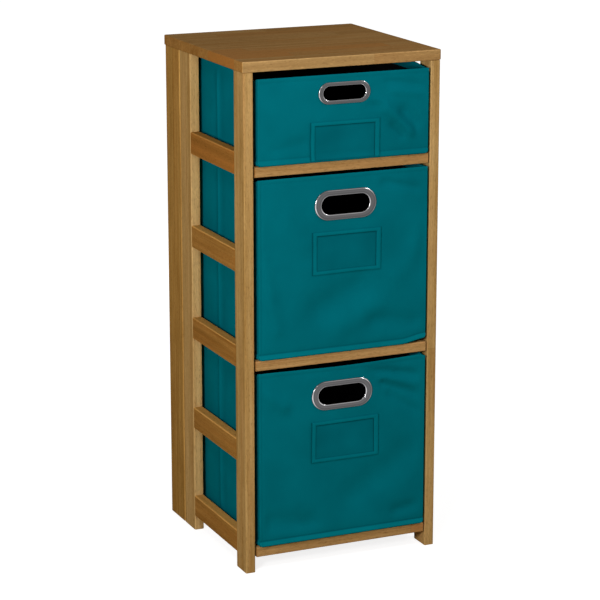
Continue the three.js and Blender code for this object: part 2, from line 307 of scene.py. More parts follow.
# Each noise in the wood: how often it changes along, across and through the grain, and its detail
wood_noises = {
    "streaks": ((2.4, 120.0, 120.0), 3.0),
    "fine": ((14.0, 520.0, 520.0), 2.0),
    "figure": ((16.0, 60.0, 60.0), 2.0),
    "drift": ((2.6, 14.0, 14.0), 1.0),
    "tint": ((1.9, 85.0, 85.0), 2.0),
    "pores": ((150.0, 2400.0, 2400.0), 0.0),
    "flecks": ((130.0, 620.0, 620.0), 1.0),
}
wood_darkening = {"streaks": 2.3, "fine": 1.3, "figure": 0.8, "drift": 0.9}
length_shift = (6.0, 6.0, 6.0)
pith_reach = (0, 0.06, 0.05)
rings_per_metre = 200.0
ring_wander = 0.03
ring_sharpness = 3.0
ring_darkening = 0.16
even_share = 0.45
least_share = -1.2
most_share = 1.2
red_streaks = 2.2
# Where each small mark begins and is full in its noise, and how strongly it shows
pore_span, pore_share = (0.64, 0.74), 0.4
dark_fleck_span, dark_fleck_share = (0.62, 0.71), 0.42
pale_fleck_span, pale_fleck_share = (0.38, 0.3), 0.5
# How far from a glue line and from a joint of two lengths its shade fades, and from what share
glue_shade = (0.00012, 0.0004, 0.22, 0.0)
joint_shade = (0.0002, 0.0008, 0.3, 0.0)
crevice_tint = (0.42, 0.34, 0.28, 1)
pale_tint = (1.22, 1.2, 1.16, 1)
soaked_tint = (0.95, 0.82, 0.6, 1)
# Rounded edges turn lighter and bluer: partly wear, partly a painted highlight.
worn_and_highlight_tint = (1.24, 1.26, 1.32, 1)
pore_height, fine_height, ring_height = -0.7, 0.5, -0.15
plain_roughness, streak_roughness, pore_roughness = 0.36, 0.16, 0.18
wood_relief = {"Strength": 0.35, "Distance": 0.0002}


def build_wood_grain():
    """Stained hardwood: glued lengths of unlike tone, growth rings, streaks, pores, and worn edges that also
    carry a painted highlight.
    """
    tree, given, made = new_group(
        "stained_wood_grain",
        {
            "Place": "Vector",
            "Stave Edges": "Vector",
            "Wood Length": "Vector",
            "Wear And Highlight": "Float",
            "End Grain": "Float",
            "Contrast": "Float",
            "Light Tone": "Color",
            "Dark Tone": "Color",
            "Red Tone": "Color",
        },
        {"Color": "Color", "Height": "Float", "Roughness": "Float"},
    )
    calc, mix = partial(math_node, tree), partial(mix_colours, tree)
    along, across, through = split(tree, given["Place"])
    start, end, joint = split(tree, given["Stave Edges"])
    seed, dark_by, red_by = split(tree, given["Wood Length"])
    from_start = calc("SUBTRACT", across, start)
    from_glue = calc("MINIMUM", from_start, calc("SUBTRACT", end, across))
    from_joint = calc("ABSOLUTE", calc("SUBTRACT", along, joint))
    own = add_node(tree, "TexWhiteNoise", {"W": seed}, noise_dimensions="1D").outputs["Color"]
    place = vector_node(tree, "ADD", given["Place"], vector_node(tree, "MULTIPLY", own, length_shift))
    noises = {name: stretched_noise(tree, place, *values) for name, values in wood_noises.items()}
    pores = remap(tree, noises["pores"], *pore_span)
    dark_flecks = remap(tree, noises["flecks"], *dark_fleck_span)
    pale_flecks = remap(tree, noises["flecks"], *pale_fleck_span)

    pith = split(tree, vector_node(tree, "MULTIPLY", own, pith_reach))
    ring_y = calc("ADD", across, pith[1])
    ring_z = calc("ADD", through, pith[2])
    from_pith = add_node(tree, "CombineXYZ", {0: 0.0, 1: ring_y, 2: ring_z}).outputs[0]
    radius = add_node(tree, "VectorMath", {0: from_pith}, operation="LENGTH").outputs["Value"]
    radius = calc("MULTIPLY_ADD", noises["drift"], ring_wander, radius)
    ring = calc("FRACT", calc("MULTIPLY", radius, rings_per_metre))
    ring = calc("POWER", ring, ring_sharpness)

    share = 0.0
    for name, amount in wood_darkening.items():
        share = calc("MULTIPLY_ADD", calc("SUBTRACT", noises[name], 0.5), amount, share)
    share = calc("MULTIPLY_ADD", ring, ring_darkening, share)
    share = calc("MULTIPLY_ADD", share, given["Contrast"], even_share)
    share = calc("MAXIMUM", least_share, calc("ADD", share, dark_by))
    share = calc("MINIMUM", most_share, share)
    colour = mix(share, given["Light Tone"], given["Dark Tone"], clamp=False)
    red = calc("MULTIPLY", calc("SUBTRACT", noises["tint"], 0.5), red_streaks)
    red = calc("MULTIPLY_ADD", red, given["Contrast"], red_by, clamp=True)
    colour = mix(red, colour, given["Red Tone"])
    dark = tinted(tree, colour, crevice_tint)
    pale = tinted(tree, colour, pale_tint)
    by_glue, by_joint = remap(tree, from_glue, *glue_shade), remap(tree, from_joint, *joint_shade)
    colour = mix(calc("MAXIMUM", by_glue, by_joint), colour, dark)
    for mark, strength, tone in (
        (pores, pore_share, dark),
        (dark_flecks, dark_fleck_share, dark),
        (pale_flecks, pale_fleck_share, pale),
    ):
        colour = mix(calc("MULTIPLY", mark, strength), colour, tone)
    colour = mix(given["End Grain"], colour, tinted(tree, colour, soaked_tint))
    # Painted highlight, with the wear, along the rounded edges.
    colour = mix(given["Wear And Highlight"], colour, tinted(tree, colour, worn_and_highlight_tint))
    height = calc("MULTIPLY", noises["fine"], fine_height)
    height = calc("MULTIPLY_ADD", pores, pore_height, height)
    height = calc("MULTIPLY_ADD", ring, ring_height, height)
    rough = calc("MULTIPLY_ADD", noises["streaks"], streak_roughness, plain_roughness)
    rough = calc("MULTIPLY_ADD", pores, pore_roughness, rough)
    fill(tree, made, {"Color": colour, "Height": height, "Roughness": rough})
    return tree


wood_grain = build_wood_grain()


def new_material(name):
    material = bpy.data.materials.new(name)
    material.use_nodes = True
    tree = material.node_tree
    place = add_node(tree, "TexCoord").outputs["Object"]
    return material, tree, tree.nodes["Principled BSDF"].inputs, place


def stained_wood(name, grain, light, dark, red, contrast=1.0):
    material, tree, surface, place = new_material(name)
    place = split(tree, place)
    turned = {number: place[axis] for number, axis in enumerate(grain_axes[grain])}
    grained = add_node(tree, "Group", {
        "Place": add_node(tree, "CombineXYZ", turned).outputs[0],
        "Stave Edges": attribute(tree, "stave_edges", "Vector"),
        "Wood Length": attribute(tree, "wood_length", "Vector"),
        "Wear And Highlight": attribute(tree, "edge_wear_and_highlight"),
        "End Grain": attribute(tree, "end_grain"),
        "Contrast": contrast,
        "Light Tone": (*light, 1),
        "Dark Tone": (*dark, 1),
        "Red Tone": (*red, 1),
    }, node_tree=wood_grain).outputs
    fill(tree, surface, {
        "Base Color": grained["Color"],
        "Roughness": grained["Roughness"],
        "Normal": add_node(tree, "Bump", {"Height": grained["Height"], **wood_relief}).outputs[0],
        "Specular IOR Level": 0.0,
    })
    return material


def smooth_rounds(piece, angle):
    """Shades smooth wherever faces meet at less than the angle."""
    activate(piece)
    bpy.ops.object.shade_smooth_by_angle(angle=math.radians(angle))


def finish_wood(piece, node, grain, material, slot, staves, body="frame", **marks):
    mark_wood(piece, node, grain, staves, **marks)
    smooth_rounds(piece, wood_angle)
    apply_modifier(piece, "WEIGHTED_NORMAL", keep_sharp=True, weight=flats_weight)
    piece.data.materials.append(material)
    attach(piece, body)
    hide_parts(node)


sides = ("left", "right")
shelves = ("lower_shelf", "middle_shelf", "upper_shelf")
stile_wood = stained_wood(
    "stile_wood", "z", (0.486, 0.266, 0.071), (0.307, 0.152, 0.032), (0.397, 0.181, 0.039)
)
rail_wood = stained_wood(
    "rail_wood", "x", (0.408, 0.206, 0.052), (0.276, 0.125, 0.027), (0.360, 0.144, 0.031), 0.8
)
for side in sides:
    node = side + "_back_stile"
    stile = eased_board(side + "_stile", node, "z")
    drill_for_pins(stile, [f"{shelf}_{side}_pivot_pin" for shelf in shelves])
    finish_wood(stile, node, "z", stile_wood, "post_wood", one_stave())
for rail_place in ("lower", "middle", "upper", "top"):
    node = rail_place + "_back_rail"
    rail = eased_board(rail_place + "_rail", node, "x")
    finish_wood(rail, node, "x", rail_wood, "rung_wood", one_stave())


# Side frames
# Each side is a ladder of two posts with five rungs glued flush between them, one
# board thick. The posts are of a lighter wood than the rungs, and they run straight
# to the floor, where their ends are the feet.

post_wood = stained_wood(
    "post_wood", "z", (0.529, 0.324, 0.122), (0.367, 0.202, 0.058), (0.454, 0.230, 0.076)
)
rung_wood = stained_wood(
    "rung_wood", "y", (0.418, 0.203, 0.048), (0.276, 0.121, 0.024), (0.385, 0.149, 0.029), 0.8
)
# How dark and how red each post and rung is, and where a post is joined of two lengths
post_staves = {
    "left_front_post": one_stave((0.12, 0.0)),
    "left_rear_post": one_stave((-0.1, 0.0)),
    "right_front_post": one_stave((-0.1, 0.1), 0.354, (-0.2, 0.0)),
    "right_rear_post": one_stave(),
}
# Painted light: the front and back faces of the rear posts, and the top and bottom faces of the rungs, are
# painted lighter.
rear_edge_tone = -0.6
rung_edge_tone = -1.3
post_wear_and_highlight = 0.25
rung_tones = {1: (0.0, 0.0), 2: (-0.05, 0.0), 3: (0.12, 0.15), 4: (-0.1, 0.05), 5: (0.55, 0.65)}
for side in sides:
    for place in ("front", "rear"):
        node = f"{side}_{place}_post"
        post = eased_board(f"{side}_{place}_upright", node, "z")
        if place == "front":
            drill_for_pins(post, [f"{shelf}_{side}_rest_pin" for shelf in shelves])
        marks = {"edge_tone": rear_edge_tone if place == "rear" else 0.0, "full_wear_and_highlight": post_wear_and_highlight}
        finish_wood(post, node, "z", post_wood, "post_wood", post_staves[node], **marks)
    for number, tones in rung_tones.items():
        node = f"{side}_rung_{number}"
        rung = eased_board(f"{side}_ladder_rung_{number}", node, "y")
        finish_wood(rung, node, "y", rung_wood, "rung_wood", one_stave(tones), edge_tone=rung_edge_tone)


# Shelves
# Each shelf is a 17 mm panel glued up of staves that run from side to side. It turns
# on two pins near its back edge and is notched from below to rest on two pins in the
# front posts, so that it can be turned up when the bookcase is folded.

shelf_stave = 0.042
joint_spread = 0.12
shelf_wood = stained_wood(
    "shelf_wood", "x", (0.540, 0.308, 0.120), (0.356, 0.188, 0.060), (0.464, 0.207, 0.067), 0.8
)
# Where the two lengths of each shelf's front stave meet, and their tones
shelf_fronts = {
    "lower_shelf": (0.132, (0.05, -0.05), (0.85, 0.7)),
    "middle_shelf": (far_off, (0.0, 0.1), (0.0, 0.1)),
    "upper_shelf": (far_off, (0.0, 0.0), (0.0, 0.0)),
}


def glued_staves(low, high, front):
    """The staves of a shelf from its front back, joined end to end at places of their own."""
    staves = [(-far_off, low + shelf_stave, *front)]
    start = low + shelf_stave
    while start < high:
        joint = chooser.uniform(-joint_spread, joint_spread)
        staves.append((start, start + shelf_stave, joint, pick_tones(), pick_tones()))
        start += shelf_stave
    return staves


def notch_for_pins(piece, pins):
    """Cuts a slot up to each front pin from below, round at its top."""
    bottom = min(vertex.co.z for vertex in piece.data.vertices)
    for pin in pins:
        low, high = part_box(pin)
        notch = pin_cutter(pin)
        for vertex in notch.data.vertices:
            if vertex.co.z < (low.z + high.z) / 2 - coincident:
                vertex.co.z = bottom - pin_play
        cut_away(piece, notch)


for shelf_name in shelves:
    panel = eased_board(shelf_name + "_panel", shelf_name, "x")
    drill_for_pins(panel, [f"{shelf_name}_{side}_pivot_pin" for side in sides])
    notch_for_pins(panel, [f"{shelf_name}_{side}_rest_pin" for side in sides])
    shelf_low, shelf_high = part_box(shelf_name)
    staves = glued_staves(shelf_low.y, shelf_high.y, shelf_fronts[shelf_name])
    finish_wood(panel, shelf_name, "x", shelf_wood, "post_wood", staves)


# Top panel
# A glued-up panel like the shelves, 17.5 mm thick, with its edges and corners rounded
# more. It lies on the four posts and stiles and lifts on two hinges at its back edge.

top_edge_round = 0.0018
left_corner_round = 0.002
right_corner_round = 0.0042
# Painted light: the front and back edges of the top are painted lighter than its top face.
top_edge_tone = -0.9
top_edge_steps = 5
# Painted shade: the top's wood and its staves are set darker than the shelves', partly for the lesser light
# on its top face.
top_wood = stained_wood(
    "top_wood", "x", (0.464, 0.275, 0.103), (0.313, 0.167, 0.054), (0.389, 0.182, 0.054), 0.6
)
# Each stave from the front back: its width, where its lengths meet, and how dark and red they are
top_staves = [
    (0.033, 0.055, (0.15, 0.0), (0.25, 0.2)),
    (0.038, -0.07, (0.6, 0.95), (0.35, 0.3)),
    (0.037, 0.12, (0.65, 0.9), (0.25, 0.2)),
    (0.037, -0.12, (0.5, 0.8), (0.25, 0.3)),
    (0.041, 0.03, (0.3, 0.1), (0.3, 0.2)),
    (0.041, -0.05, (0.35, 0.0), (0.25, 0.25)),
    (0.041, 0.1, (0.2, 0.0), (0.35, 0.1)),
    (0.041, -0.1, (0.3, 0.0), (0.25, 0.3)),
    (0.041, 0.0, (0.2, 0.05), (0.35, 0.2)),
]
top_low, top_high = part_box("top_panel")
laid_staves = []
stave_start = top_low.y
for stave_width, *stave_looks in top_staves:
    laid_staves.append((stave_start, stave_start + stave_width, *stave_looks))
    stave_start += stave_width


def upright(start, end):
    return abs(start.z - end.z) > coincident


def level(start, end):
    return not upright(start, end)


top_board = start_block("top_board", top_low, top_high)
for corner_side, corner_round in ((-1, left_corner_round), (1, right_corner_round)):
    bevel_edges(
        top_board,
        lambda start, end: upright(start, end) and start.x * corner_side > top_high.x - coincident,
        corner_round,
        top_edge_steps,
    )
bevel_edges(
    top_board,
    lambda start, end: level(start, end) and min(start.z - top_low.z, top_high.z - start.z) < coincident,
    top_edge_round,
    top_edge_steps,
)
marks = {"edge_tone": top_edge_tone, "radius": top_edge_round}
finish_wood(top_board, "top_panel", "x", top_wood, "top_wood", laid_staves, "top", **marks)


# Hinges and pins
# Zinc-plated steel: butt hinges of two pressed leaves on a pin, held by countersunk
# screws, between the stiles and the sides and under the back edge of the top. Plain
# 5 mm pins carry the shelves.

steel_grain = ((400.0, 400.0, 900.0), 2.0)
middle_span = (0.3, 0.7)
steel_roughness = (0.26, 0.42)
steel_colour = (0.42, 0.41, 0.38, 1)


def steel_finish():
    material, tree, surface, place = new_material("zinc_steel")
    grain = stretched_noise(tree, place, *steel_grain)
    rough = remap(tree, grain, *middle_span, *steel_roughness)
    fill(tree, surface, {"Base Color": steel_colour, "Roughness": rough, "Metallic": 1.0})
    return material


steel = steel_finish()
for name, node_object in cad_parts.items():
    if "hinge" in name or name.endswith("_pin"):
        node_object.data.materials.clear()
        node_object.data.materials.append(steel)


# Screws of the top hinges
# Countersunk steel wood screws with cross recesses, three in each leaf, their heads just
# proud of the leaf. They turn with the piece that their leaf is fixed to.

screw_radius = 0.0019
screw_rise = 0.00035
screw_sides = 24
screw_angle = 40
recess_reach = 0.0011
recess_half_width = 0.00022
recess_depth = 0.0004
blade_rise = 0.001
# Each ring of a head from inside the leaf outwards: its share of the radius and its height
screw_profile = ((1.0, -0.0006), (1.0, 0.00008), (0.93, 0.00018), (0.7, 0.0003), (0.35, screw_rise))
screw_places = (-0.33, 0.0, 0.33)
screw_row_share = 0.75


def new_object(name, data):
    made = bpy.data.objects.new(name, data)
    bpy.context.scene.collection.objects.link(made)
    return made


def keep_mesh(name, mesh):
    """Makes a finished mesh an object of its own, its faces outward."""
    bmesh.ops.recalc_face_normals(mesh, faces=mesh.faces)
    data = bpy.data.meshes.new(name)
    mesh.to_mesh(data)
    mesh.free()
    return new_object(name, data)


def skin_rings(name, rings, closed=False):
    """One closed body through rings of points, each with as many points as the next."""
    mesh = bmesh.new()
    rows = [[mesh.verts.new(point) for point in ring] for ring in rings]
    pairs = list(zip(rows, rows[1:]))
    if closed:
        pairs.append((rows[-1], rows[0]))
    count = len(rows[0])
    for first, second in pairs:
        for place in range(count):
            after = (place + 1) % count
            mesh.faces.new((first[place], first[after], second[after], second[place]))
    if not closed:
        mesh.faces.new(rows[0])
        mesh.faces.new(rows[-1])
    return keep_mesh(name, mesh)


def build_screw(place, turn):
    """One domed head with a cross cut in it, its flat side against the leaf and its face to the back."""
    turns = [2 * math.pi * number / screw_sides for number in range(screw_sides)]
    circle = [(math.cos(angle) * screw_radius, math.sin(angle) * screw_radius) for angle in turns]
    screw = skin_rings("screw", [
        [place + Vector((right * share, rise, up * share)) for right, up in circle]
        for share, rise in screw_profile
    ])
    for angle in (turn, turn + math.pi / 2):
        along = Vector((math.cos(angle), 0, math.sin(angle)))
        side = Vector((-math.sin(angle), 0, math.cos(angle)))
        ahead, beside = recess_reach, recess_half_width
        blade = skin_rings("blade", [
            [
                place + along * forward + side * aside + Vector((0, rise, 0))
                for forward, aside in ((-ahead, -beside), (ahead, -beside), (ahead, beside), (-ahead, beside))
            ]
            for rise in (screw_rise - recess_depth, screw_rise + blade_rise)
        ])
        cut_away(screw, blade)
    return screw


def leaf_face(leaf, across, up):
    """How far back the flat of a hinge leaf lies, met from behind the bookcase."""
    into_leaf = leaf.matrix_world.inverted()
    start = into_leaf @ Vector((across, 1.0, up))
    end = into_leaf @ Vector((across, 0.0, up))
    place = leaf.ray_cast(start, (end - start).normalized())[1]
    return (leaf.matrix_world @ place).y


for leaf_name, body in (("panel", "top"), ("rail", "frame")):
    for side in sides:
        node = f"{side}_top_hinge_{leaf_name}_leaf"
        leaf_low, leaf_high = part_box(node)
        away = leaf_high.z if leaf_name == "panel" else leaf_low.z
        middle = (leaf_low + leaf_high) / 2
        up = away + (middle.z - away) * screw_row_share
        screws = []
        for share in screw_places:
            across = middle.x + share * (leaf_high.x - leaf_low.x)
            place = Vector((across, leaf_face(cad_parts[node], across, up), up))
            screws.append(build_screw(place, chooser.uniform(0, math.pi)))
        activate(screws[0])
        for screw in screws[1:]:
            screw.select_set(True)
        bpy.ops.object.join()
        joined = bpy.context.object
        joined.name = f"{side}_top_hinge_{leaf_name}_screws"
        smooth_rounds(joined, screw_angle)
        joined.data.materials.append(steel)
        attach(joined, body)


# Bins
# Each bin is woven polyester sewn over stiff boards, open at the top, with a black lining
# and a loose floor board. Its front is a little wider than its body, with the cloth
# doubled at rim and hem, a pressed metal grommet and a sewn frame round a label window.

bin_wall = 0.003
left_inset, right_inset = 0.003, 0.001
left_flange, right_flange = 0.0018, 0.0015
flange_play = 0.0004
hem_height = 0.0095
rim_height = 0.0065
corner_strip = 0.0046
# How far the cloth stands out at each height above the bottom edge and below the rim
hem_profile = [
    (0, 0), (0.0015, 0.0015), (0.004, 0.0014), (0.0085, 0.0004),
    (0.0105, -0.0008), (0.0135, -0.0003), (0.02, 0),
]
rim_profile = [(0, 0.0001), (0.001, 0.0003), (0.0055, 0.0002), (0.0068, -0.0002), (0.009, 0)]
# How much of the sewing shows: the doubled hem, the painted shade of the crease over it, the seam by the left
# edge
bin_sewing = {"top_bin": (0.2, 0.3, 0.0), "middle_bin": (0.75, 0.6, 0.5), "bottom_bin": (1.0, 0.7, 0.35)}
# Folds pressed into the front of each bin: start and end across and up, height, width
bin_folds = {
    "top_bin": [
        ((0.052, 0.103), (0.066, 0.094), 0.0025, 0.008),
        ((0.074, 0.084), (0.12, 0.042), 0.0066, 0.0104),
        ((0.112, 0.07), (0.13, 0.052), -0.00625, 0.014),
        ((0.09, 0.05), (0.104, 0.036), -0.00375, 0.009),
        ((0.03, 0.09), (0.066, 0.086), -0.00325, 0.006),
        ((0.08, 0.128), (0.15, 0.112), -0.00275, 0.007),
        ((0.09, 0.11), (0.15, 0.1), 0.002, 0.006),
        ((-0.12, 0.02), (-0.07, 0.034), -0.00225, 0.012),
    ],
    "middle_bin": [
        ((0.075, 0.282), (0.15, 0.264), -0.00325, 0.007),
        ((-0.04, 0.078), (0.03, 0.112), -0.00525, 0.024),
        ((0.0, 0.045), (0.06, 0.07), 0.00325, 0.02),
        ((-0.145, 0.17), (-0.12, 0.05), 0.0025, 0.012),
        ((0.1, 0.12), (0.15, 0.19), 0.003, 0.02),
        ((-0.1, 0.235), (-0.07, 0.19), 0.00225, 0.015),
        ((0.06, 0.05), (0.14, 0.035), -0.00375, 0.016),
    ],
    "bottom_bin": [
        ((-0.145, 0.272), (-0.108, 0.242), 0.0035, 0.0105),
        ((0.05, 0.29), (0.145, 0.268), -0.0035, 0.006),
        ((0.07, 0.272), (0.145, 0.25), 0.00225, 0.005),
        ((0.075, 0.262), (0.145, 0.232), -0.0035, 0.007),
        ((0.09, 0.24), (0.145, 0.2), -0.0025, 0.008),
        ((0.02, 0.07), (0.12, 0.13), -0.0045, 0.028),
        ((-0.13, 0.04), (-0.06, 0.03), -0.00425, 0.02),
        ((0.105, 0.03), (0.14, 0.035), -0.00375, 0.012),
    ],
}
# Where the cloth sags or stands up: how far, and the spans that it sets in over: across the
# front as a share, behind it, above the bottom or below the rim. Hang is the sag of a rope.
near_rim = ("below", 0.05, 0)
at_front = ("behind", 0.02, 0.0032)
slack_side = (-0.006, near_rim, ("across", 0.12, 0.03), ("behind", 0.003, 0.024), ("behind", 0.052, 0.026))
bin_rises = {
    "top_bin": [
        slack_side,
        (0.003, near_rim, ("across", 0.9, 0.96), ("behind", 0.01, 0.05), ("behind", 0.28, 0.12)),
        (-0.0014, near_rim, at_front),
    ],
    "middle_bin": [
        slack_side,
        (0.007, ("across", 0.84, 1.0), ("above", 0.07, 0.012), ("behind", 0.07, 0.01)),
    ],
    "bottom_bin": [
        slack_side,
        (-0.0026, near_rim, at_front, ("hang",)),
        (0.0006, near_rim, at_front, ("across", 0.8, 0.93)),
        (-0.003, at_front, ("across", 0.955, 1.0), ("across", 0.955, 1.0), ("below", 0.02, 0)),
    ],
}
bin_names = ("bottom_bin", "middle_bin", "top_bin")
bin_boxes = {name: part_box(name + "_shell") for name in bin_names}
grommet_boxes = {name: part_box(name + "_grommet") for name in bin_names}


def body_box(bin_name):
    """The box of the bin's own walls, without the flanges at the ends of its front."""
    low, high = bin_boxes[bin_name]
    return low + Vector((left_inset + left_flange, 0, 0)), high - Vector((right_inset + right_flange, 0, 0))


def ease(value, none, full):
    """The smoothstep curve from 0 at one value to 1 at the other, whichever of them is higher."""
    share = min(1, max(0, (value - none) / (full - none)))
    return share * share * (3 - 2 * share)


def bell(distance, width):
    return math.exp(-((distance / width) ** 2))


def waves(across, up, often, shift):
    return noise.noise(Vector((across * often, up * often, shift)))


def follow(profile, place):
    for (start, first), (end, second) in zip(profile, profile[1:]):
        if place <= end:
            return first + (second - first) * (place - start) / (end - start)
    return profile[-1][1]


def near_line(point, start, end):
    run = Vector(end) - Vector(start)
    share = min(1, max(0, (point - Vector(start)).dot(run) / run.length_squared))
    return (point - Vector(start) - run * share).length


def from_edges(low, high, point, hem_span, rim_span):
    """One on the open cloth, and nothing by the bottom edge and by the rim."""
    return ease(point.z - low.z, *hem_span) * ease(high.z - point.z, *rim_span)


def from_seam(bin_name, point):
    """How far right of the seam by the left edge of the front a point lies."""
    return point.x - bin_boxes[bin_name][0].x - left_inset - corner_strip


# Small waves of the front: their height, how many lie in a metre, and their place in the noise
front_waves = ((0.0007, 17, 0), (0.0012, 8, 9))
front_wave_step = 50
# Between which distances folds set in: from the grommet, an end, the bottom edge and the rim
ring_span = (0.002, 0.02)
end_span = (0.004, 0.025)
fold_spans = ((0.008, 0.03), (0.006, 0.02))


def front_push(bin_name, point):
    """How far the front cloth stands out from its board at a point, for the folds and waves in it."""
    low, high = bin_boxes[bin_name]
    place = Vector((point.x, point.z - low.z))
    push = 0.0
    for height, often, shift in front_waves:
        push += height * waves(place.x, place.y, often, low.z * front_wave_step + shift)
    for start, end, height, width in bin_folds[bin_name]:
        push += height * bell(near_line(place, start, end), width)
    ring_low, ring_high = grommet_boxes[bin_name]
    half = (ring_high.z - ring_low.z) / 2
    middle = (ring_low.z + ring_high.z) / 2 - low.z
    from_ring = near_line(place, (ring_low.x + half, middle), (ring_high.x - half, middle)) - half
    push *= ease(from_ring, *ring_span) * ease(min(point.x - low.x, high.x - point.x), *end_span)
    return push * from_edges(low, high, point, *fold_spans)


# A side wall: its waves, and its crease, a ridge with a dip at some distance on either side
side_wave, side_waves_per_metre, side_wave_step = 0.0011, 9, 30
side_wave_shifts = {"left": 5, "right": 10}
side_crease_share = 0.58
ridge, ridge_width = 0.0016, 0.0045
dip, dip_width, dip_apart = 0.0008, 0.01, 0.014
right_crease_share, right_crease_span = 0.4, (0.02, 0.05)
corner_span = (0.004, 0.03)


def side_push(low, high, point, side):
    """How far a side wall stands out: it creases upright at mid depth, where it folds flat."""
    shift = side_wave_shifts[side] + low.z * side_wave_step
    push = side_wave * waves(point.y, point.z, side_waves_per_metre, shift)
    from_crease = point.y - low.y - (high.y - low.y) * side_crease_share
    crease = ridge * bell(from_crease, ridge_width) - dip * bell(abs(from_crease) - dip_apart, dip_width)
    if side == "right":
        crease *= right_crease_share * ease(high.z - point.z, *right_crease_span)
    from_corner = min(point.y - low.y, high.y - point.y)
    return (push + crease) * ease(from_corner, *corner_span) * from_edges(low, high, point, *fold_spans)


def lift(bin_name, point):
    """How far the cloth stands up or sags at a point: a slack rim, a lifted or a dropped corner."""
    low, high = bin_boxes[bin_name]
    across = (point.x - low.x) / (high.x - low.x)
    places = {"across": across, "hang": math.sin(math.pi * min(1, max(0, across))) ** 2}
    places.update(behind=point.y - low.y, above=point.z - low.z, below=high.z - point.z)
    total = 0.0
    for height, *spans in bin_rises[bin_name]:
        for measure, *span in spans:
            height *= ease(places[measure], *span) if span else places[measure]
        total += height
    return total


# Between which distances the cloth leaves a wall, and the sides of a bin leave the flange
wall_span = (0.012, 0.004)
flange_span = (0.003, 0.008)
seam_depth, seam_width = 0.0012, 0.0009
seam_spans = ((0.009, 0.012), (0.006, 0.009))


def cloth_shift(bin_name, point):
    """Where the cloth lies, against the flat walls that it is sewn over."""
    low, high = body_box(bin_name)
    from_low, from_high = point - low, high - point
    raised = follow(hem_profile, from_low.z) + follow(rim_profile, from_high.z)
    seam = seam_depth * bin_sewing[bin_name][2] * bell(from_seam(bin_name, point), seam_width)
    push = raised - seam * from_edges(low, high, point, *seam_spans) + front_push(bin_name, point)
    behind = ease(from_low.y, *flange_span)
    left = behind * ease(from_low.x, *wall_span) * (raised + side_push(low, high, point, "left"))
    right = behind * ease(from_high.x, *wall_span) * (raised + side_push(low, high, point, "right"))
    back = ease(from_high.y, *wall_span) * raised - ease(from_low.y, *wall_span) * push
    return Vector((right - left, back, lift(bin_name, point)))


def drape(piece, bin_name, front=None):
    """Moves each point of a piece with the cloth, or with the cloth in the plane of the front."""
    for vertex in piece.data.vertices:
        place = vertex.co if front is None else Vector((vertex.co.x, front, vertex.co.z))
        vertex.co += cloth_shift(bin_name, place)
    piece.data.update()


def spaced(axis, start, end, step):
    """Places for cuts at even distances between two ends."""
    count = max(1, round((end - start) / step))
    return [(axis, start + (end - start) * number / count) for number in range(1, count)]


def from_both_ends(axis, low, high, steps):
    return [(axis, place) for step in steps for place in (low[axis] + step, high[axis] - step)]


stadium_steps = 20
half_turns = [[turn + step / stadium_steps for step in range(stadium_steps + 1)] for turn in (-0.5, 0.5)]


def stadium(box, step_in):
    """The outline of a slot with round ends, going round from its right end, drawn in by a distance."""
    low, high = box
    radius = (high.z - low.z) / 2
    middle = (low + high) / 2
    straight = (high.x - low.x) / 2 - radius
    return [
        (
            middle.x + end + math.cos(math.pi * turn) * (radius - step_in),
            middle.z + math.sin(math.pi * turn) * (radius - step_in),
        )
        for end, turns in zip((straight, -straight), half_turns) for turn in turns
    ]


grommet_sleeve = 0.0009
hole_before, hole_behind = 0.005, 0.01


def cut_hand_hole(piece, hole, front):
    """Cuts the hand hole through the front wall, a little larger than the grommet's own hole."""
    outline = stadium(hole, -grommet_sleeve)
    rings = [[(across, y, up) for across, up in outline] for y in (front - hole_before, front + hole_behind)]
    cut_away(piece, skin_rings("hole_cutter", rings))


def build_weave():
    """The crossing threads of a plain weave, as a height."""
    inputs = {"Place": "Vector", "Threads": "Float"}
    tree, given, made = new_group("plain_weave", inputs, {"Height": "Float"})
    scaled = {0: given["Place"], "Scale": given["Threads"]}
    scaled = add_node(tree, "VectorMath", scaled, operation="SCALE")
    first, *others = split(tree, scaled.outputs[0])
    total = math_node(tree, "SINE", first)
    for other in others:
        total = math_node(tree, "ADD", total, math_node(tree, "SINE", other))
    fill(tree, made, {"Height": total})
    return tree


weave = build_weave()
painted_crease_shade_depth = 0.6
patch_size = {"Scale": 14.0, "Detail": 2.0}
weave_threads = 9000.0
thread_depth = 0.00004


def cloth_material(name, single, doubled=None, roughness=0.9, relief=0.25, patchiness=0.07):
    """Cloth that is brighter where it is doubled, with painted shade along its creases, its seams and the
    edges of its label pocket.
    """
    material, tree, surface, place = new_material(name)
    patches = add_node(tree, "TexNoise", {"Vector": place, **patch_size}).outputs[0]
    shade = remap(tree, patches, *middle_span, 1 - patchiness, 1 + patchiness)
    # The crease attribute holds painted shade: it darkens the colour in creases, by seams and along raised
    # edges.
    painted_shade_factor = math_node(tree, "MULTIPLY_ADD", attribute(tree, "crease"), -painted_crease_shade_depth, 1.0)
    shade = math_node(tree, "MULTIPLY", shade, painted_shade_factor)
    shade = add_node(tree, "CombineColor", {0: shade, 1: shade, 2: shade}).outputs[0]
    colour = mix_colours(tree, attribute(tree, "layers"), (*single, 1), (*(doubled or single), 1))
    threads = add_node(tree, "Group", {"Place": place, "Threads": weave_threads}, node_tree=weave)
    threads = {"Height": threads.outputs[0], "Strength": relief, "Distance": thread_depth}
    fill(tree, surface, {
        "Base Color": tinted(tree, colour, shade),
        "Roughness": roughness,
        "Normal": add_node(tree, "Bump", threads).outputs[0],
        "Specular IOR Level": 0.0,
    })
    return material


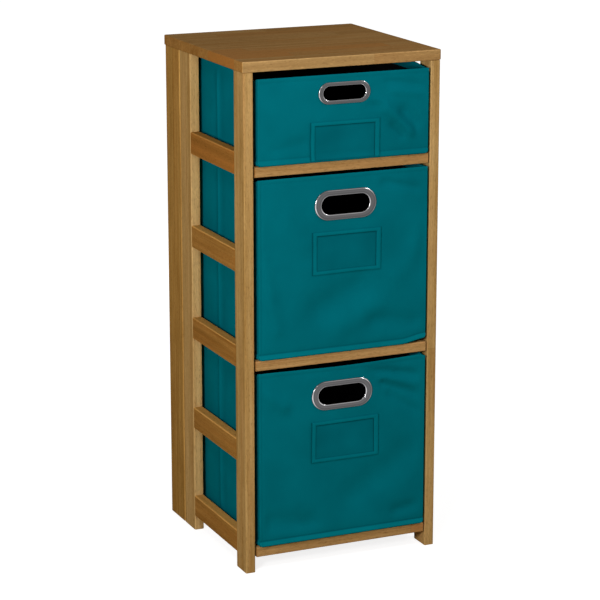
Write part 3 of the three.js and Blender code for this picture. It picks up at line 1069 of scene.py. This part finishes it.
teal_cloth = cloth_material("teal_cloth", (0.0004, 0.145, 0.183), (0.0004, 0.19, 0.234))
pocket_cloth = cloth_material("pocket_cloth", (0.0004, 0.145, 0.183), (0.0004, 0.159, 0.199))
window_vinyl = cloth_material(
    "window_vinyl", (0.0004, 0.127, 0.162), roughness=0.5, relief=0.0, patchiness=0.12
)
black_cloth = cloth_material("black_cloth", (0.008, 0.008, 0.009))
teal_thread = cloth_material("teal_thread", (0.0004, 0.16, 0.2), roughness=0.7, relief=0.0)
grommet_scratches = ((60.0, 900.0, 2500.0), 2.0)
grommet_roughness = (0.1, 0.2)
# Painted light on the grommet: a dark end for painted shade and dark reflections at its edge and in its hole,
# a bright end for painted highlights.
painted_shade_metal = (0.016, 0.015, 0.016, 1)
painted_highlight_metal = (0.6, 0.59, 0.6, 1)
scratch_relief = {"Strength": 0.12, "Distance": 0.00005}


def grommet_metal():
    material, tree, surface, place = new_material("grommet_metal")
    scratches = stretched_noise(tree, place, *grommet_scratches)
    fill(tree, surface, {
        "Base Color": mix_colours(tree, attribute(tree, "painted_shine_and_shade"), painted_shade_metal, painted_highlight_metal),
        "Roughness": remap(tree, scratches, *middle_span, *grommet_roughness),
        "Normal": add_node(tree, "Bump", {"Height": scratches, **scratch_relief}).outputs[0],
        "Metallic": 1.0,
    })
    return material


chrome = grommet_metal()
# From the outer edge of the grommet over its face to the hole and back: share of the way,
# distance out, painted shine and shade all round, and whether it is on the rim or the lip, which get painted
# highlights
grommet_profile = [
    (0.04, -0.0001, 0.0, None),
    (0.0, 0.0003, 0.0, None),
    (0.02, 0.0009, 0.02, None),
    (0.06, 0.0013, 0.1, "rim"),
    (0.1, 0.0016, 0.2, "rim"),
    (0.14, 0.0017, 0.2, "rim"),
    (0.2, 0.00155, 0.14, None),
    (0.3, 0.0013, 0.13, None),
    (0.5, 0.0011, 0.17, None),
    (0.74, 0.00105, 0.14, None),
    (0.82, 0.0013, 0.14, None),
    (0.87, 0.0016, 0.26, "lip"),
    (0.93, 0.0015, 0.34, "lip"),
    (0.98, 0.001, 0.2, "lip"),
    (1.0, 0.0004, 0.05, None),
    (1.0, -0.0042, 0.0, None),
    (0.97, -0.0047, 0.0, None),
    (0.9, -0.0044, 0.0, None),
    (0.9, -0.0006, 0.0, None),
    (0.5, 0.0002, 0.0, None),
    (0.1, 0.0001, 0.0, None),
]
# Direction round the ring and spread, both in degrees, and strength of each painted highlight
painted_highlight_places = {
    "rim": ((188, 34, 0.85), (62, 24, 0.85), (330, 20, 0.2)),
    "lip": ((236, 30, 0.75), (356, 36, 0.5), (130, 30, 0.15)),
    None: (),
}
full_turn = 360


def painted_highlight(place, around):
    """The painted highlight in a direction round the ring, from every highlight place near it."""
    return sum(
        strength * bell(math.remainder(around - towards, full_turn), spread)
        for towards, spread, strength in painted_highlight_places[place]
    )


def dress(piece, material, bin_name, slot, *nodes, smooth=None):
    """Finishes a piece of a bin: shaded smooth below an angle, painted, and set to move with its bin."""
    if smooth:
        smooth_rounds(piece, smooth)
    piece.data.materials.append(material)
    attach(piece, bin_name)
    if nodes:
        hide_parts(*nodes)


grommet_angle = 50


def build_grommet(bin_name, hole):
    front = bin_boxes[bin_name][0].y
    outlines = list(zip(stadium(grommet_boxes[bin_name], 0), stadium(hole, 0)))
    directions = [math.degrees(math.pi * turn) for turns in half_turns for turn in turns]
    rings = []
    painted_shine_and_shade = []
    for share, out, painted_level, place in grommet_profile:
        rings.append([
            (ax + (bx - ax) * share, front - out, az + (bz - az) * share)
            for (ax, az), (bx, bz) in outlines
        ])
        # Painted shine and shade: each ring's own level plus painted highlights in set directions.
        painted_shine_and_shade += [painted_level + painted_highlight(place, around) for around in directions]
    ring = skin_rings(bin_name + "_handle_ring", rings, closed=True)
    set_attribute(ring, "painted_shine_and_shade", painted_shine_and_shade)
    dress(ring, chrome, bin_name, "chrome", bin_name + "_grommet", smooth=grommet_angle)


def mark_points(piece, **marks):
    """Keeps what each function says of each point, under the name that it is given by."""
    for name, share_at in marks.items():
        set_attribute(piece, name, [share_at(vertex.co) for vertex in piece.data.vertices])


def open_top(piece, thickness):
    """Takes the top face off a block and gives its walls and floor a thickness inwards."""
    edit_parts(piece, "FACE", lambda face: face.normal.z > mostly)
    bpy.ops.mesh.delete(type="FACE")
    bpy.ops.object.mode_set(mode="OBJECT")
    apply_modifier(piece, "SOLIDIFY", thickness=thickness, offset=-1, use_even_offset=True)


flange_thickness = 0.0023
flange_edge_round = 0.0009
flange_corner_round, flange_corner_steps = 0.007, 6
small_steps = 3


def build_front_flange(bin_name):
    """The flat front panel, a little wider than the body, with round lower corners."""
    low, high = bin_boxes[bin_name]
    low = Vector((low.x + left_inset, low.y, low.z + flange_play))
    high = Vector((high.x - right_inset, low.y + flange_thickness, high.z))
    panel = start_block("front_flange", low, high)

    def along_face(start, end):
        return abs(start.y - end.y) < coincident

    def lower_corner(start, end):
        return not along_face(start, end) and max(start.z, end.z) < low.z + coincident

    bevel_edges(panel, lower_corner, flange_corner_round, flange_corner_steps)
    bevel_edges(panel, along_face, flange_edge_round, small_steps)
    return panel


bin_back_round, bin_back_steps = 0.006, 5
bin_bottom_round = 0.0034
bin_rim_round = 0.0012
rim_middle = 0.0024
cloth_angle = 55
coarse_cut, fine_cut = 0.005, 0.0013
# Where the cloth is cut finer: by the ends of the front, by the side crease, in the hem and at the rim
end_cuts = (0.0022, 0.004, 0.0048, 0.0053, 0.0058, 0.0063, 0.0072, 0.0085, 0.0095)
side_crease_cuts = (-0.0045, -0.003, -0.0015, 0.0, 0.0015, 0.003, 0.0045)
depth_margin = 0.004
hem_band, rim_band = 0.014, 0.0095
# The doubled cloth of the hem, the rim and the strip by the seam: how bright it is and where it sets in
hem_span, hem_full, hem_fall, hem_fall_span = (0.0103, 0.0085), 0.95, 0.4, (0.002, hem_height)
hem_unevenness, hem_waves_per_metre, hem_wave_step = 0.25, 25, 40
rim_double, rim_span = 0.12, (rim_height, 0.001)
strip_double, strip_span, strip_depth = 0.3, (0.0004, -0.0012), 0.012
# The painted shade of the creases over the hem and by the seam
over_hem, hem_crease_shade_width = 0.001, 0.0011
seam_crease_shade, seam_crease_shade_width = 0.5, 0.0007
crease_shade_reach = 0.004


def back_corners(front):
    """Picks the upright edges that lie behind a front."""
    return lambda start, end: upright(start, end) and start.y > front + coincident


def build_cover(bin_name, hole):
    low, high = body_box(bin_name)
    outer_low, outer_high = bin_boxes[bin_name]
    start = Vector((low.x, low.y + flange_play, low.z))
    end = Vector((high.x, high.y, high.z - flange_play))
    cover = start_block(bin_name + "_cover", start, end)

    def at_bottom(first, second):
        return max(first.z, second.z) < low.z + coincident

    def at_rim(first, second):
        """True of the edges of the rim, but not of those that run from its outside to its inside."""
        first_in, second_in = (
            min(point.x - start.x, end.x - point.x, point.y - start.y, end.y - point.y) > rim_middle
            for point in (first, second)
        )
        return min(first.z, second.z) > end.z - coincident and first_in == second_in

    bevel_edges(cover, back_corners(start.y), bin_back_round, bin_back_steps)
    bevel_edges(cover, at_bottom, bin_bottom_round, small_steps)
    open_top(cover, bin_wall)
    bevel_edges(cover, at_rim, bin_rim_round, small_steps)
    join_or_cut(cover, build_front_flange(bin_name), "UNION")
    cut_hand_hole(cover, hole, low.y)
    rows = spaced(0, outer_low.x + end_cuts[-1], outer_high.x - end_cuts[-1], coarse_cut)
    rows += from_both_ends(0, outer_low, outer_high, end_cuts)
    rows += spaced(1, low.y + depth_margin, high.y - depth_margin, coarse_cut)
    middle = low.y + (high.y - low.y) * side_crease_share
    rows += [(1, middle + place) for place in side_crease_cuts]
    rows += spaced(2, low.z, low.z + hem_band, fine_cut)
    rows += spaced(2, low.z + hem_band, high.z - rim_band, coarse_cut)
    rows += spaced(2, high.z - rim_band, high.z, fine_cut)
    cut_grid(cover, rows)
    hem_share, crease_shade_share, seam_share = bin_sewing[bin_name]

    def doubled(point):
        up = point.z - low.z
        uneven = hem_unevenness * waves(point.x, point.y, hem_waves_per_metre, low.z * hem_wave_step)
        hem = hem_full - hem_fall * ease(up, *hem_fall_span) + uneven
        hem *= hem_share * ease(up, *hem_span)
        rim = rim_double * ease(high.z - point.z, *rim_span)
        strip = strip_double * seam_share * ease(from_seam(bin_name, point), *strip_span)
        return min(1, max(0, hem, rim, strip if point.y <= low.y + strip_depth else 0))

    # Painted shade in the crease over the hem and by the seam.
    def painted_crease_shade(point):
        by_hem = crease_shade_share * bell(point.z - low.z - hem_height - over_hem, hem_crease_shade_width)
        by_seam = seam_crease_shade * seam_share * bell(from_seam(bin_name, point), seam_crease_shade_width)
        return max(by_hem, by_seam) if point.y < low.y + crease_shade_reach else 0.0

    mark_points(cover, layers=doubled, crease=painted_crease_shade)
    drape(cover, bin_name)
    dress(cover, teal_cloth, bin_name, "teal_fabric", bin_name + "_shell", smooth=cloth_angle)


lining_cut = 0.0075
lining_drop = 0.014
lining_thickness = 0.0005
lining_steps = 4
lining_margin = 0.01


def build_lining(bin_name, hole):
    low, high = body_box(bin_name)
    start = low + Vector((bin_wall, bin_wall + flange_play, bin_wall))
    lining = start_block(bin_name + "_lining", start, high - Vector((bin_wall, bin_wall, lining_drop)))
    bevel_edges(lining, back_corners(start.y), bin_back_round - bin_wall, lining_steps)
    open_top(lining, lining_thickness)
    cut_hand_hole(lining, hole, low.y)
    rows = spaced(0, low.x, high.x, lining_cut) + spaced(1, low.y, high.y, lining_cut)
    rows += spaced(2, low.z + lining_margin, high.z - lining_drop, lining_cut)
    cut_grid(lining, rows)
    drape(lining, bin_name)
    dress(lining, black_cloth, bin_name, "black_fabric", smooth=cloth_angle)


pocket_side = 0.0085
pocket_hem = 0.0065
pocket_angle = 40
window_through = 0.002
frame_edge_round = 0.00045
side_cuts = (0.0014, 0.0028, 0.0042, 0.0056, 0.007)
hem_cuts = (0.0013, 0.0026, 0.0039, 0.0052)
window_cuts = (0.001, 0.0018, 0.0028, 0.004)
# The frame's strips are crowned, and look doubled where they are highest
crown_power, crown_height = 0.7, 0.0004
flat_layers, crown_layers = 0.35, 0.65
face_margin = 0.0002
# The strength of each shadow by an edge, and between which distances it sets in
left_shadow, left_span = 0.9, (0.0019, 0.0005)
edge_shadow, edge_span = 0.3, (0.0014, 0.0002)
window_shadow, window_span = 0.9, (0.0034, 0.0014)
pane_shadow, pane_span = 0.35, (0.0026, 0.0012)
# A painted shade line along the window's inner edges of the frame, and its width
window_edge_shade, window_edge_shade_width = 0.25, 0.0009
pane_lap = 0.001
pane_front, pane_back = 0.0004, 0.0001


def build_label_frame(bin_name, low, high, window_low, window_high):
    label_frame = start_block(bin_name + "_label_frame", low, high)
    cut_away(label_frame, start_block("window_cutter", window_low, window_high))
    bevel_edges(
        label_frame,
        lambda start, end: max(start.y, end.y) < low.y + coincident
        and (abs(start.x - end.x) < coincident or level(start, end)),
        frame_edge_round,
        small_steps,
    )
    rows = spaced(0, low.x, high.x, coarse_cut) + spaced(2, low.z, high.z, coarse_cut)
    rows += from_both_ends(0, low, high, side_cuts) + from_both_ends(2, low, high, hem_cuts)
    cut_grid(label_frame, rows)

    def crown(point):
        from_side = min(point.x - low.x, high.x - point.x) / pocket_side
        from_hem = high.z - point.z if window_low.z < low.z else min(point.z - low.z, high.z - point.z)
        share = min(from_side, from_hem / pocket_hem)
        return math.sin(math.pi * share) ** crown_power if 0 < share < 1 else 0.0

    # Painted shadows along the frame's outer edges and by the window.
    def painted_crease_shade(point):
        left, right = point.x - low.x, high.x - point.x
        bottom, top = point.z - low.z, high.z - point.z
        in_line = min(abs(left - pocket_side), abs(bottom - pocket_hem)) < window_edge_shade_width
        by_edge = edge_shadow * ease(min(right, bottom, top), *edge_span)
        return max(left_shadow * ease(left, *left_span), by_edge, window_edge_shade * in_line)

    mark_points(label_frame, layers=lambda point: flat_layers + crown_layers * crown(point), crease=painted_crease_shade)
    for vertex in label_frame.data.vertices:
        if vertex.co.y < low.y + face_margin:
            vertex.co.y -= crown_height * crown(vertex.co)
    return label_frame


def build_label_window(bin_name, low, high):
    pane = start_block(bin_name + "_label_window", low, high)
    rows = spaced(0, low.x, high.x, coarse_cut) + spaced(2, low.z, high.z, coarse_cut)
    for step in window_cuts:
        rows += from_both_ends(0, low, high, [step]) + from_both_ends(2, low, high, [step])
    cut_grid(pane, rows)

    # Painted shadows on the window along the frame's edges.
    def painted_crease_shade(point):
        by_frame = window_shadow * ease(min(high.x - point.x, high.z - point.z), *window_span)
        return max(by_frame, pane_shadow * ease(min(point.x - low.x, point.z - low.z), *pane_span))

    mark_points(pane, crease=painted_crease_shade)
    return pane


def build_pocket(bin_name):
    low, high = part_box(bin_name + "_label_pocket")
    below = -pocket_hem if bin_name == "top_bin" else pocket_hem
    window_low = low + Vector((pocket_side, -window_through, below))
    window_high = high + Vector((-pocket_side, window_through, -pocket_hem))
    label_frame = build_label_frame(bin_name, low, high, window_low, window_high)
    pane_low = Vector((window_low.x - pane_lap, high.y - pane_front, max(window_low.z - pane_lap, low.z)))
    pane_high = Vector((window_high.x + pane_lap, high.y - pane_back, window_high.z + pane_lap))
    pane = build_label_window(bin_name, pane_low, pane_high)
    for piece, cloth, *nodes in (
        (label_frame, pocket_cloth, bin_name + "_label_pocket"),
        (pane, window_vinyl),
    ):
        drape(piece, bin_name, bin_boxes[bin_name][0].y)
        dress(piece, cloth, bin_name, "pocket_fabric", *nodes, smooth=pocket_angle)


stitch_pitch = 0.0034
stitch_length = 0.0024
stitch_radius = 0.0003
stitch_sides = 5
stitch_over_hem, stitch_under_rim = 0.0012, 0.0004
stitch_inset = 0.007
pocket_stitch_inset = 0.0012
stitch_rise = 0.0002


def build_stitching(bin_name):
    """Lock stitches along the hem, the rim and round the label frame, one small body each."""
    low, high = bin_boxes[bin_name]
    body_low, body_high = body_box(bin_name)
    pocket_low, pocket_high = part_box(bin_name + "_label_pocket")
    mesh = bmesh.new()

    def sew(start, end, outward, over=0.0):
        run = Vector(end) - Vector(start)
        count = int(run.length / stitch_pitch)
        along = run.normalized()
        outward = Vector(outward)
        side = along.cross(outward)
        for number in range(count):
            middle = Vector(start) + along * ((number + 0.5) * run.length / count)
            middle += cloth_shift(bin_name, middle) + outward * over
            ring = []
            for turn in range(stitch_sides):
                angle = 2 * math.pi * turn / stitch_sides
                around = outward * math.cos(angle) + side * math.sin(angle)
                ring.append(mesh.verts.new(middle + around * stitch_radius))
            tips = [mesh.verts.new(middle + along * (stitch_length / 2) * way) for way in (-1, 1)]
            for turn in range(stitch_sides):
                after = (turn + 1) % stitch_sides
                mesh.faces.new((ring[turn], ring[after], tips[1]))
                mesh.faces.new((ring[after], ring[turn], tips[0]))

    forward = (0, -1, 0)
    for up in (low.z + hem_height + stitch_over_hem, high.z - rim_height - stitch_under_rim):
        sew((low.x + stitch_inset, low.y, up), (high.x - stitch_inset, low.y, up), forward)
        for x, outward in ((body_low.x, -1), (body_high.x, 1)):
            sew((x, low.y + stitch_inset + bin_wall, up), (x, high.y - stitch_inset, up), (outward, 0, 0))
    left, right = pocket_low.x + pocket_stitch_inset, pocket_high.x - pocket_stitch_inset
    bottom, top = pocket_low.z + pocket_stitch_inset, pocket_high.z - pocket_stitch_inset
    corners = [(x, low.y, z) for x, z in ((left, bottom), (right, bottom), (right, top), (left, top))]
    for start, end in zip(corners, corners[1:] + corners[:1]):
        sew(start, end, forward, low.y - pocket_low.y + stitch_rise)
    dress(keep_mesh(bin_name + "_stitching", mesh), teal_thread, bin_name, "teal_fabric")


board_cut = 0.02
board_front_gap = 0.0008
board_corner_round, board_corner_steps = 0.004, 4
board_edge_round, board_edge_steps = 0.0006, 2
board_angle = 40


def build_floor_board(bin_name):
    low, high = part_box(bin_name + "_base_board")
    low = low + Vector((left_inset + left_flange, board_front_gap, 0))
    high = high - Vector((right_inset + right_flange, 0, 0))
    board = start_block(bin_name + "_floor_board", low, high)
    bevel_edges(board, upright, board_corner_round, board_corner_steps)
    bevel_edges(board, level, board_edge_round, board_edge_steps)
    cut_grid(board, spaced(0, low.x, high.x, board_cut) + spaced(1, low.y, high.y, board_cut))
    for vertex in board.data.vertices:
        vertex.co.z += lift(bin_name, vertex.co)
    dress(board, black_cloth, bin_name, "black_fabric", bin_name + "_base_board", smooth=board_angle)


# How far each grommet's hole lies inside its left end and its bottom
hole_insets = {"bottom_bin": (0.0125, 0.0095), "middle_bin": (0.0125, 0.0095), "top_bin": (0.0085, 0.00625)}
for bin_name in bin_names:
    ring_low, ring_high = grommet_boxes[bin_name]
    inset_across, inset_up = hole_insets[bin_name]
    inset = Vector((inset_across, 0, inset_up))
    hole = (ring_low + inset, ring_high - inset)
    build_cover(bin_name, hole)
    build_lining(bin_name, hole)
    build_grommet(bin_name, hole)
    build_pocket(bin_name)
    build_stitching(bin_name)
    build_floor_board(bin_name)


# Floor, light and camera
# A plain pale floor takes the shadow of the bookcase, in a room that is white to the eye.
# Soft lamps light it: the key low on the left, one high on the right, a fill over the
# key, one overhead and a weak one behind.

floor_reach = 30.0
floor_colour = (0.42, 0.42, 0.42, 1)
bounced_colour = (0.45, 0.41, 0.29, 1)
floor_glow = (0.4, 2.6, 0.84, 1.0)
ambient = 0.11
white = (1, 1, 1, 1)


def seen_directly(tree):
    """One for the rays of the camera and of reflections, which find a white background."""
    rays = add_node(tree, "LightPath").outputs
    seen = math_node(tree, "MAXIMUM", rays["Is Camera Ray"], rays["Is Glossy Ray"])
    return math_node(tree, "MAXIMUM", seen, rays["Is Transmission Ray"])


bpy.ops.mesh.primitive_plane_add(size=floor_reach, location=(0, 0, 0))
floor = bpy.context.object
floor.name = "floor"
floor_paint, tree, surface, place = new_material("pale_floor")
tree.nodes.remove(tree.nodes["Principled BSDF"])
matte = add_node(tree, "BsdfDiffuse", {"Color": floor_colour}).outputs[0]
bounce = add_node(tree, "BsdfDiffuse", {"Color": bounced_colour}).outputs[0]
away = add_node(tree, "VectorMath", {0: place}, operation="LENGTH").outputs["Value"]
glow = {"Color": white, "Strength": remap(tree, away, *floor_glow)}
glow = add_node(tree, "Emission", glow).outputs[0]
both = add_node(tree, "AddShader", {0: matte, 1: glow}).outputs[0]
shown = add_node(tree, "MixShader", {0: seen_directly(tree), 1: bounce, 2: both})
fill(tree, tree.nodes["Material Output"].inputs, {"Surface": shown.outputs[0]})
floor.data.materials.append(floor_paint)

room = bpy.data.worlds.new("white_room")
bpy.context.scene.world = room
room.use_nodes = True
tree = room.node_tree
strength = remap(tree, seen_directly(tree), 0.0, 1.0, ambient, 1.0)
fill(tree, tree.nodes["Background"].inputs, {"Color": white, "Strength": strength})


def point_at(piece, place, direction):
    """Puts a lamp or a camera in its place, looking in a direction."""
    piece.location = place
    piece.rotation_euler = direction.to_track_quat("-Z", "Y").to_euler()


# Name, place, what it is aimed at, size, power, spread in degrees
lamps = [
    ("key_lamp", (-1.5, -1.55, 1.0), (0, 0, 1.15), 0.4, 29, 180),
    ("side_lamp", (1.75, -1.2, 2.1), (0, 0, 1.1), 0.5, 18.5, 180),
    ("fill_lamp", (-1.25, -1.7, 2.3), (0, 0, 0.5), 0.5, 12, 180),
    ("top_lamp", (0.1, -0.2, 2.9), (0, 0, 0.8), 0.8, 4.4, 180),
    ("back_lamp", (0.5, 2.5, 0.42), (0, 0, 0.5), 0.8, 7.5, 70),
]
for name, place, aim, size, power, spread in lamps:
    light = bpy.data.lights.new(name, "AREA")
    light.shape = "SQUARE"
    light.size = size
    light.energy = power
    light.spread = math.radians(spread)
    lamp = new_object(name, light)
    lamp.visible_camera = False
    point_at(lamp, Vector(place), Vector(aim) - Vector(place))

camera_azimuth = math.radians(-23.93)
camera_elevation = math.radians(14.42)
camera_distance = 4.026
camera_target = Vector((0.0006, 0.0003, 0.415))
camera_data = bpy.data.cameras.new("camera")
camera_data.sensor_width = 36
camera_data.lens = 139.55
camera = new_object("camera", camera_data)
back = Vector((
    math.sin(camera_azimuth) * math.cos(camera_elevation),
    -math.cos(camera_azimuth) * math.cos(camera_elevation),
    math.sin(camera_elevation),
))
point_at(camera, camera_target + back * camera_distance, -back)
bpy.context.scene.camera = camera
bpy.context.scene.view_settings.view_transform = "Standard"
